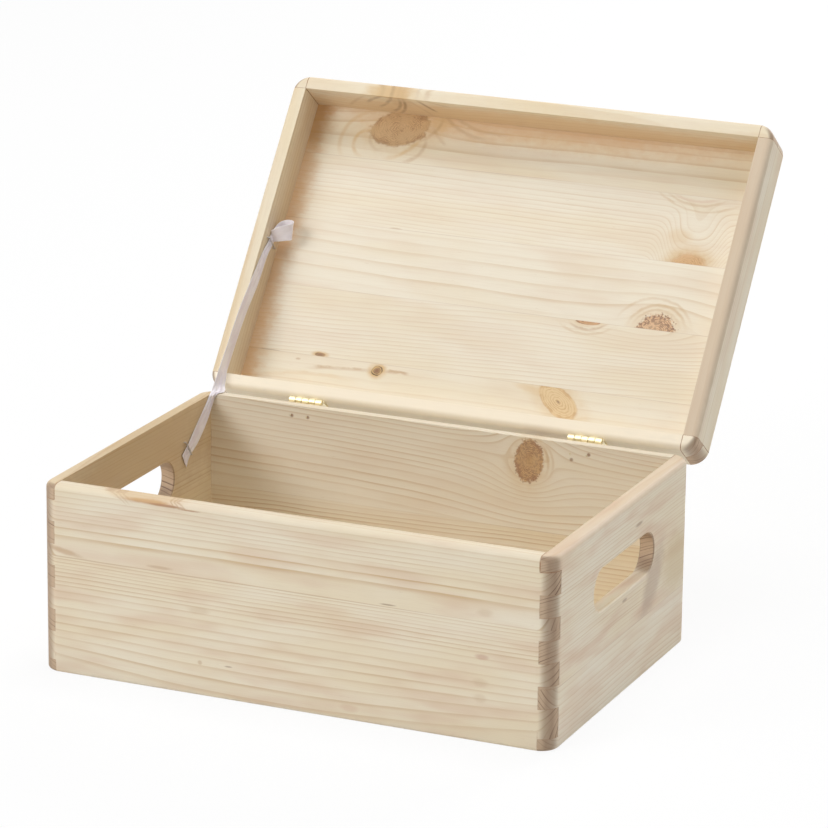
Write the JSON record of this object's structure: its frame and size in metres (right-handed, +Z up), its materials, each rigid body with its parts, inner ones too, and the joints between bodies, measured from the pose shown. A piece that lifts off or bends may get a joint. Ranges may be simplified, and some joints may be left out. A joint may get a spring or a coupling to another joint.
{
  "type": "hinged storage box",
  "caption": "Rectangular wooden box with finger-jointed walls, a hand hold in each end and a shallow hinged lid that a ribbon holds open.",
  "frame": {"origin": "centre of the base's flat underside, on the surface that the box stands on", "axes": "+X to the right along the front, +Y to the back with the hinges, +Z up; the lid stands open at rest"},
  "size_m": [0.3, 0.3437, 0.2669],
  "materials": {
    "pine_pale": "sanded, unfinished pine",
    "pine_warm": "sanded, unfinished pine",
    "brass_plated": "satin",
    "satin_ribbon": "satin weave",
    "staple_steel": "galvanised wire"
  },
  "bodies": {
    "base": {"front_upper_board": "pine_pale", "front_lower_board": "pine_warm", "back_upper_board": "pine_pale", "back_lower_board": "pine_warm", "left_upper_board": "pine_pale", "left_lower_board": "pine_warm", "right_upper_board": "pine_pale", "right_lower_board": "pine_warm", "bottom_panel": "pine_pale", "left_hinge_base_leaf": "brass_plated", "left_hinge_pin": "brass_plated", "right_hinge_base_leaf": "brass_plated", "right_hinge_pin": "brass_plated", "base_hinge_screws": "brass_plated", "base_staple": "staple_steel"},
    "lid": {"lid_front_rail": "pine_pale", "lid_back_rail": "pine_pale", "lid_left_rail": "pine_warm", "lid_right_rail": "pine_warm", "lid_board_1": "pine_warm", "lid_board_2": "pine_pale", "lid_board_3": "pine_warm", "lid_board_4": "pine_pale", "lid_board_5": "pine_warm", "left_hinge_lid_leaf": "brass_plated", "right_hinge_lid_leaf": "brass_plated", "lid_hinge_screws": "brass_plated", "lid_staple": "staple_steel", "ribbon_stay": "satin_ribbon"}
  },
  "joints": [
    {"name": "lid_hinge", "type": "hinge", "parent": "base", "child": "lid", "pos_m": [0, 0.1019, 0.10715], "axis": [1, 0, 0], "range_deg": [0, 127], "deforming": ["ribbon_stay"]}
  ]
}
